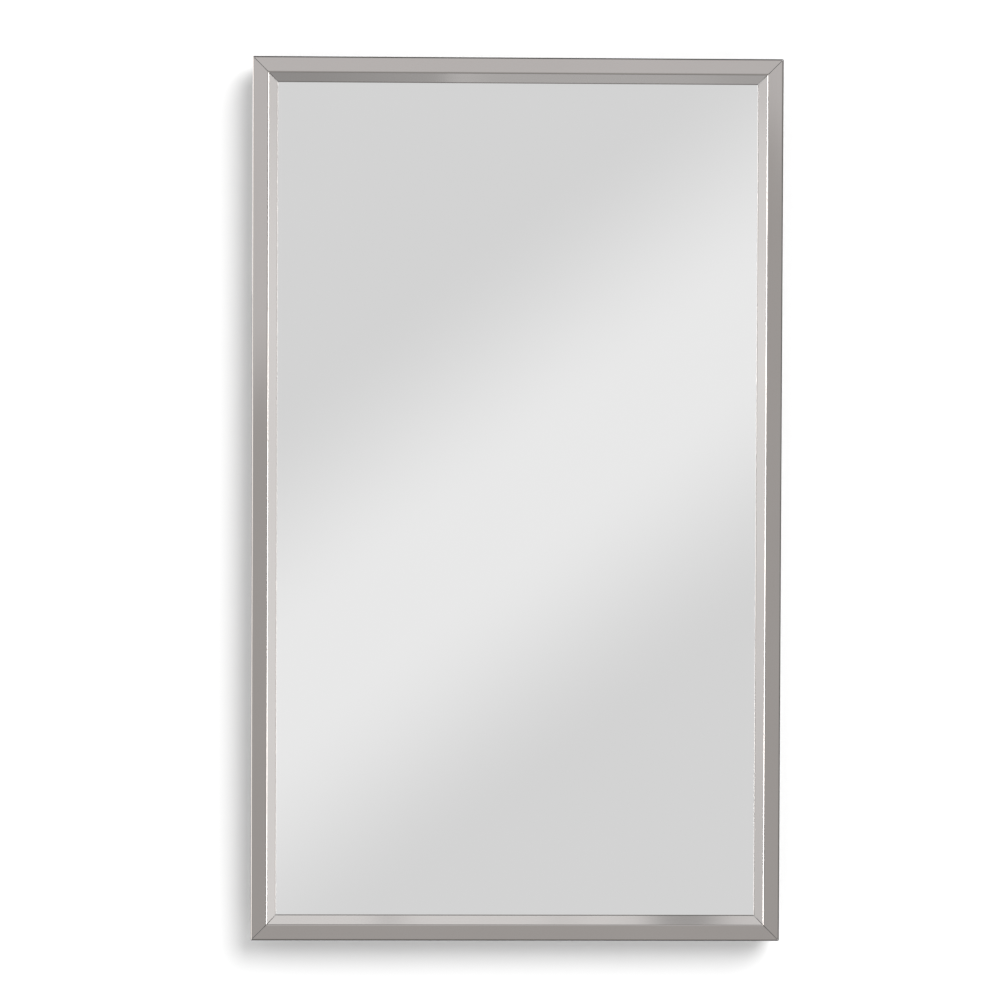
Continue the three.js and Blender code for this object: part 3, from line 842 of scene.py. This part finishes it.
def stage_material(name, colour):
    """Matt paint with a slight unevenness, which isn't there from behind."""
    finish = Finish(name, {"Roughness": 0.9, "Specular IOR Level": 0.1})
    finish.colour(finish.ramp(finish.noise(3, 2), 0, 1), colour, tuple(c * 0.985 for c in colour))
    through = finish.node("ShaderNodeBsdfTransparent")
    choose = finish.node("ShaderNodeMixShader")
    geometry = finish.node("ShaderNodeNewGeometry")
    finish.link(geometry.outputs["Backfacing"], choose.inputs[0])
    finish.link(finish.shader.outputs["BSDF"], choose.inputs[1])
    finish.link(through.outputs["BSDF"], choose.inputs[2])
    finish.link(choose.outputs["Shader"], finish.tree.nodes["Material Output"].inputs["Surface"])
    return finish.material


def stage_mesh(name, bm, material, lights_others, shades_others=True):
    mesh = bpy.data.meshes.new(name)
    bm.to_mesh(mesh)
    bm.free()
    mesh.materials.append(material)
    obj = bpy.data.objects.new(name, mesh)
    obj.visible_glossy = False
    obj.visible_diffuse = lights_others
    obj.visible_shadow = shades_others
    bpy.context.scene.collection.objects.link(obj)


def make_wall():
    half_width = box_half_width + OPENING_MARGIN
    half_height = box_half_height + OPENING_MARGIN
    inner = [(-half_width, -half_height), (half_width, -half_height)]
    inner += [(half_width, half_height), (-half_width, half_height)]
    outer = [(-WALL_REACH, -FLOOR_DROP), (WALL_REACH, -FLOOR_DROP)]
    outer += [(WALL_REACH, WALL_REACH), (-WALL_REACH, WALL_REACH)]
    bm = bmesh.new()
    hole = [bm.verts.new((x, room_wall_y, z)) for x, z in inner]
    rim = [bm.verts.new((x, room_wall_y, z)) for x, z in outer]
    for i in range(4):
        j = (i + 1) % 4
        bm.faces.new((rim[i], rim[j], hole[j], hole[i]))
    bmesh.ops.recalc_face_normals(bm, faces=bm.faces)
    if bm.faces[:][0].normal.y > 0:
        bmesh.ops.reverse_faces(bm, faces=bm.faces)
    stage_mesh("room_wall", bm, stage_material("wall_paint", (0.9, 0.9, 0.9)), True)


def make_floor():
    bm = bmesh.new()
    corners = [(-WALL_REACH, -FLOOR_FRONT), (WALL_REACH, -FLOOR_FRONT)]
    corners += [(WALL_REACH, WALL_REACH), (-WALL_REACH, WALL_REACH)]
    bm.faces.new([bm.verts.new((x, y, -FLOOR_DROP)) for x, y in corners])
    stage_mesh("floor", bm, stage_material("floor_paint", (0.8, 0.8, 0.79)), False)


def make_cavity_shade():
    bm = bmesh.new()
    bmesh.ops.create_cube(bm, size=2)
    half_depth = (SHADE_SHEET_CLEAR - room_wall_y) / 2
    reach = (box_half_width + SHADE_SHEET_CLEAR, half_depth, box_half_height + SHADE_SHEET_CLEAR)
    bmesh.ops.scale(bm, vec=reach, verts=bm.verts)
    bmesh.ops.translate(bm, vec=(0, SHADE_SHEET_CLEAR - half_depth, 0), verts=bm.verts)
    front = min(bm.faces, key=lambda face: face.calc_center_median().y)
    bmesh.ops.delete(bm, geom=[front], context="FACES_ONLY")
    bmesh.ops.reverse_faces(bm, faces=bm.faces)
    rims = bmesh.ops.inset_individual(bm, faces=bm.faces[:], thickness=3 * SHADE_SHEET_CLEAR)["faces"]
    bmesh.ops.delete(bm, geom=rims, context="FACES")
    # Painted shade: a near-black sheet for the shaded hollow in the wall around the box. It lights and shades
    # nothing else.
    stage_mesh("wall_cavity", bm, stage_material("cavity_shade_paint", (0.05, 0.05, 0.05)), False, False)


# ---- Light -------------------------------------------------------------------------------------------------
# The key light comes from the upper right and throws the soft shadow on the wall. A softbox lights only the
# pieces that it names, as a photographer lights polished metal and a mirror piece by piece.

CAMERA_LENS = 100
CAMERA_PLACE = Vector((-0.0554, -2.5163, 0.0393))
CAMERA_TURN = (-0.9361, -0.2274, -0.9771)  # pitch, roll and yaw in degrees

# Broad lamps far away: where each stands as seen from the cabinet, its width in degrees and its strength.
# Those whose names start with wall_ light only the wall.
KEY_DIRECTION = (0.66, -1, 0.8)
SUNS = {
    "key": (KEY_DIRECTION, 40, 1.3),
    "wall_key": (KEY_DIRECTION, 40, 1.25),
    "wall_fill": ((-0.5, -1, -0.5), 60, 0.3),
}
REAR_PLACE = (-1.6, 2.4, 1.2)  # of a lamp that lights the back of the box
REAR_SIZE = 1.8
REAR_POWER = 30
BOARD_Y = -4.0  # plane of the softboxes that stand behind the camera

# Along each bevel: how bright the softbox that it reflects is, by the place on the bevel in metres.
BEVEL_LIGHT = {
    "left": [(-0.4, 1.17), (0.2, 1.16), (0.37, 1.0)],
    "right": [(-0.33, 0.82), (-0.1, 0.99), (-0.02, 1.1), (0.14, 1.25), (0.3, 1.08), (0.35, 0.95)],
    "top": [(-0.2, 0.42), (-0.072, 0.53), (-0.052, 0.82), (-0.02, 0.71), (0.14, 0.69), (0.2, 0.62)],
    "bottom": [
        (-0.13, 1.17), (-0.11, 0.88), (-0.085, 1.17), (0.01, 1.16), (0.04, 1.07), (0.07, 1.16),
        (0.105, 1.1), (0.132, 0.53), (0.158, 0.53), (0.195, 1.05),
    ],
}
BEVEL_LIGHT_COLOUR = (0.967, 1, 1.025)
BEVEL_TURN = math.atan2(FRAME_CORNERS[3][1], FRAME_CORNERS[3][0] - FRAME_CORNERS[2][0])
BEVEL_BOX = {"distance": 1.5, "width": 0.47, "length": 1.6}
LINE_LIGHTS = [  # name, stile, side of the lamp, degrees from straight ahead, width, radiance
    ("left_arris_box", "left", 1, 54.5, 0.13, 15),
    ("right_arris_box", "right", -1, 51, 0.13, 18),
    ("left_edge_box", "left", -1, 78, 1.0, 2.4),
]
LINE_BOX = {"distance": 1.2, "length": 1.7}
# The edge of the glow over the rails' upper part, as two directions seen from the camera, and its sizes.
GLOW = {
    "edge": ((-0.07, 0.027), (0.115, 0.117)),
    "reach": 2.5, "length": 5, "fade": 0.1, "radiance": 0.31,
}
GLOW_COLOUR = (0.96, 1, 1.06)
# The soft band across the mirror: its middle as a direction, its slope in degrees, and its sizes.
BAND = {
    "centre": (0.0233, -0.0189), "angle": 38.2,
    "half": 0.085, "core": 0.012, "length": 5, "radiance": 0.166,
}


def lamp(name, kind, place_at, aim):
    data = bpy.data.lights.new(name, kind)
    obj = bpy.data.objects.new(name, data)
    obj.location = place_at
    obj.rotation_mode = "QUATERNION"
    obj.rotation_quaternion = (Vector(aim) - Vector(place_at)).to_track_quat("-Z", "Y")
    bpy.context.scene.collection.objects.link(obj)
    return obj


def softbox(name, centre, across, up, size, radiance, nodes, colour=(1, 1, 1)):
    """A rectangle that only the named pieces see."""
    data = bpy.data.lights.new(name, "AREA")
    data.shape = "RECTANGLE"
    data.size, data.size_y = size
    data.energy = radiance * math.pi * size[0] * size[1]
    data.color = colour
    obj = bpy.data.objects.new(name, data)
    turn = Matrix((across, up, across.cross(up))).transposed().to_4x4()
    obj.matrix_world = Matrix.Translation(centre) @ turn
    bpy.context.scene.collection.objects.link(obj)
    receivers = bpy.data.collections.new(name + "_receivers")
    for node in nodes:
        receivers.objects.link(bpy.data.objects[node + "_fine"])
    obj.light_linking.receiver_collection = receivers
    return data


def vary(data, centre, axis, shape):
    """Gives a softbox's brightness a shape, as (metres from the centre along axis, part of its radiance)."""
    data.use_nodes = True
    tree = data.node_tree
    offset = tree.nodes.new("ShaderNodeVectorMath")
    offset.operation = "SUBTRACT"
    offset.inputs[1].default_value = centre
    tree.links.new(tree.nodes.new("ShaderNodeNewGeometry").outputs["Position"], offset.inputs[0])
    along = tree.nodes.new("ShaderNodeVectorMath")
    along.operation = "DOT_PRODUCT"
    along.inputs[1].default_value = axis
    tree.links.new(offset.outputs["Vector"], along.inputs[0])
    first = shape[0][0]
    last = shape[-1][0]
    spread = tree.nodes.new("ShaderNodeMapRange")
    spread.inputs["From Min"].default_value = first
    spread.inputs["From Max"].default_value = last
    tree.links.new(along.outputs["Value"], spread.inputs["Value"])
    ramp = tree.nodes.new("ShaderNodeValToRGB")
    ramp.color_ramp.interpolation = "EASE"
    stops = ramp.color_ramp.elements
    while len(stops) < len(shape):
        stops.new(0.5)
    for stop, (metres, part) in zip(stops, shape):
        stop.position = (metres - first) / (last - first)
        stop.color = (part, part, part, 1)
    tree.links.new(spread.outputs["Result"], ramp.inputs["Fac"])
    tree.links.new(ramp.outputs["Color"], tree.nodes["Emission"].inputs["Strength"])


def seen_at(direction, surface_y):
    """The point on the softboxes' plane that a front-facing surface reflects at (x, z) for one unit of Y."""
    distance = 2 * surface_y - CAMERA_PLACE.y - BOARD_Y
    x = CAMERA_PLACE.x + direction[0] * distance
    z = CAMERA_PLACE.z + direction[1] * distance
    return Vector((x, BOARD_Y, z))


def light_bevel(side):
    """A softbox where the camera sees it in one rail's bevel."""
    outward, reach, _ = SIDES[side]
    depth = (FRAME_CORNERS[2][0] + FRAME_CORNERS[3][0]) / 2
    middle = outward * (reach - depth * MM) + Vector((0, front_y + FRAME_CORNERS[3][1] / 2 * MM, 0))
    normal = -outward * math.sin(BEVEL_TURN) - Vector((0, math.cos(BEVEL_TURN), 0))
    view = (middle - CAMERA_PLACE).normalized()
    ray = view - normal * (2 * view.dot(normal))
    along = Vector((1, 0, 0)) if outward.x == 0 else Vector((0, 0, 1))
    centre = middle + ray * BEVEL_BOX["distance"]
    facing = ray - along * ray.dot(along)
    facing.normalize()
    stretch = 1 + BEVEL_BOX["distance"] / (middle - CAMERA_PLACE).length
    most = max(level for _, level in BEVEL_LIGHT[side])
    shape = [(place_at * stretch, level / most) for place_at, level in BEVEL_LIGHT[side]]
    rail = f"frame_{side}_{'rail' if outward.x == 0 else 'stile'}"
    size = (BEVEL_BOX["length"], BEVEL_BOX["width"])
    name = f"{side}_bevel_box"
    box = softbox(name, centre, along, facing.cross(along), size, most, [rail], BEVEL_LIGHT_COLOUR)
    vary(box, centre, along, shape)


def light_line(name, stile, lamp_side, lean, width, radiance):
    """A narrow softbox that draws a bright line along one stile's rounded edge."""
    outward, reach, _ = SIDES[stile]
    start = outward * reach + Vector((0, front_y, 0))
    ray = Vector((lamp_side * math.sin(math.radians(lean)), -math.cos(math.radians(lean)), 0))
    up = Vector((0, 0, 1))
    size = (width, LINE_BOX["length"])
    centre = start + ray * LINE_BOX["distance"]
    softbox(name, centre, up.cross(ray), up, size, radiance, [f"frame_{stile}_stile"])


def make_suns():
    front = Vector((0, front_y, 0))
    wall_only = bpy.data.collections.new("wall_only")
    wall_only.objects.link(bpy.data.objects["room_wall"])
    for name, (direction, width, strength) in SUNS.items():
        sun = lamp(name, "SUN", front + Vector(direction) * 3, front)
        sun.data.angle = math.radians(width)
        sun.data.energy = strength
        sun.visible_glossy = False
        if name.startswith("wall_"):
            sun.light_linking.receiver_collection = wall_only


def light_rails():
    """The glow on the upper part of the rails' flat faces."""
    start, end = (seen_at(direction, front_y) for direction in GLOW["edge"])
    along = (end - start).normalized()
    up = Vector((-along.z, 0, along.x))
    reach = GLOW["reach"]
    fade = GLOW["fade"]
    centre = (start + end) / 2 + up * (reach / 2 - fade)
    shape = [(-reach / 2, 0), (-reach / 2 + 2 * fade, 1)]
    rails = [n for n in NODES if n.startswith("frame_")]
    box = softbox("glow", centre, along, up, (GLOW["length"], reach), GLOW["radiance"], rails, GLOW_COLOUR)
    vary(box, centre, up, shape)


def light_mirror():
    """The soft diagonal band in the mirror."""
    glass_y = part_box("mirror_glass")[0].y
    distance = 2 * glass_y - CAMERA_PLACE.y - BOARD_Y
    centre = seen_at(BAND["centre"], glass_y)
    angle = math.radians(BAND["angle"])
    along = Vector((math.cos(angle), 0, math.sin(angle)))
    up = Vector((-along.z, 0, along.x))
    core = BAND["core"] * distance
    half = BAND["half"] * distance
    shape = [(-half, 0), (-core, 1), (core, 1), (half, 0)]
    size = (BAND["length"], 2 * half)
    box = softbox("band", centre, along, up, size, BAND["radiance"], ["mirror_glass"])
    vary(box, centre, up, shape)


def make_lights():
    make_suns()
    rear = lamp("rear", "AREA", REAR_PLACE, (0, 0, 0))
    rear.data.size = REAR_SIZE
    rear.data.energy = REAR_POWER
    for side in SIDES:
        light_bevel(side)
    for line in LINE_LIGHTS:
        light_line(*line)
    light_rails()
    light_mirror()


# ---- Room --------------------------------------------------------------------------------------------------
# What polished surfaces reflect of the room: brightness by the angle from straight ahead, in degrees.

ROOM_BESIDE = [(0, 0.69), (16, 0.69), (26, 0.6), (55, 0.52), (78, 0.2), (96, 0.13), (140, 0.18), (155, 0.8)]
ROOM_ABOVE = [
    (0, 0.69), (16, 0.69), (26, 0.58), (45, 0.5), (62, 0.25), (75, 0.12), (96, 0.07), (140, 0.15), (155, 0.8),
]
ROOM_CORNERS = [(0, 0), (70, 0), (88, 0.25), (140, 0.26), (155, 0)]  # added away from level and from upright
CORNER_START = (0.12, 0.32)
SIDE_BLEND = (-0.08, 0.08)
TWICE = [(0, 0), (14, 0), (24, 0.4), (86, 0.5), (92, 0)]  # added at the sides after two reflections
ROOM_MOST = 2.0
ROOM_DIFFUSE = 0.66
CAMERA_WHITE = 1.1


def make_world():
    world = bpy.data.worlds.new("studio")
    bpy.context.scene.world = world
    world.use_nodes = True
    tree = world.node_tree
    background = tree.nodes["Background"]

    def node(kind, **settings):
        made = tree.nodes.new(kind)
        for key, value in settings.items():
            setattr(made, key, value)
        return made

    def calc(operation, a, b=0.0):
        made = node("ShaderNodeMath", operation=operation)
        for socket, value in zip(made.inputs, (a, b)):
            if isinstance(value, (int, float)):
                socket.default_value = value
            else:
                tree.links.new(value, socket)
        return made.outputs["Value"]

    def step(value, start, end):
        made = node("ShaderNodeMapRange", interpolation_type="SMOOTHSTEP")
        tree.links.new(value, made.inputs["Value"])
        made.inputs["From Min"].default_value = start
        made.inputs["From Max"].default_value = end
        return made.outputs["Result"]

    def curve(value, points):
        """Straight lines between (degrees, brightness) points."""
        made = node("ShaderNodeValToRGB")
        stops = made.color_ramp.elements
        while len(stops) < len(points):
            stops.new(0.5)
        for stop, (degrees, level) in zip(stops, points):
            stop.position = degrees / 180
            stop.color = (*([level / ROOM_MOST] * 3), 1)
        tree.links.new(value, made.inputs["Fac"])
        return calc("MULTIPLY", made.outputs["Color"], ROOM_MOST)

    def blend(factor, a, b):
        return calc("ADD", calc("MULTIPLY", a, calc("SUBTRACT", 1, factor)), calc("MULTIPLY", b, factor))

    split = node("ShaderNodeSeparateXYZ")
    tree.links.new(node("ShaderNodeTexCoord").outputs["Generated"], split.inputs["Vector"])
    x, y, z = split.outputs
    lean = calc("DIVIDE", calc("ARCCOSINE", calc("MULTIPLY", y, -1)), math.pi)
    sideways = step(calc("SUBTRACT", calc("ABSOLUTE", x), calc("ABSOLUTE", z)), *SIDE_BLEND)
    path = node("ShaderNodeLightPath")
    twice = calc("MULTIPLY", calc("GREATER_THAN", path.outputs["Glossy Depth"], 1.5), sideways)
    level = blend(sideways, curve(lean, ROOM_ABOVE), curve(lean, ROOM_BESIDE))
    level = calc("ADD", level, calc("MULTIPLY", twice, curve(lean, TWICE)))
    off_cross = calc("MINIMUM", calc("ABSOLUTE", x), calc("ABSOLUTE", z))
    corner = step(off_cross, *CORNER_START)
    level = calc("ADD", level, calc("MULTIPLY", corner, curve(lean, ROOM_CORNERS)))
    level = blend(path.outputs["Is Diffuse Ray"], level, ROOM_DIFFUSE)
    level = blend(path.outputs["Is Camera Ray"], level, CAMERA_WHITE)
    tree.links.new(level, background.inputs["Strength"])
    background.inputs["Color"].default_value = (1, 1, 1, 1)


# ---- Camera ------------------------------------------------------------------------------------------------


def make_camera():
    data = bpy.data.cameras.new("camera")
    data.lens = CAMERA_LENS
    camera = bpy.data.objects.new("camera", data)
    pitch, roll, yaw = (math.radians(angle) for angle in CAMERA_TURN)
    turn = Matrix.Rotation(yaw, 4, "Z") @ Matrix.Rotation(pitch, 4, "X") @ Matrix.Rotation(roll, 4, "Y")
    camera.matrix_world = Matrix.Translation(CAMERA_PLACE) @ turn @ Matrix.Rotation(math.pi / 2, 4, "X")
    bpy.context.scene.collection.objects.link(camera)
    bpy.context.scene.camera = camera


make_wall()
make_floor()
make_cavity_shade()
make_lights()
make_world()
make_camera()
bpy.context.scene.view_settings.view_transform = "Standard"
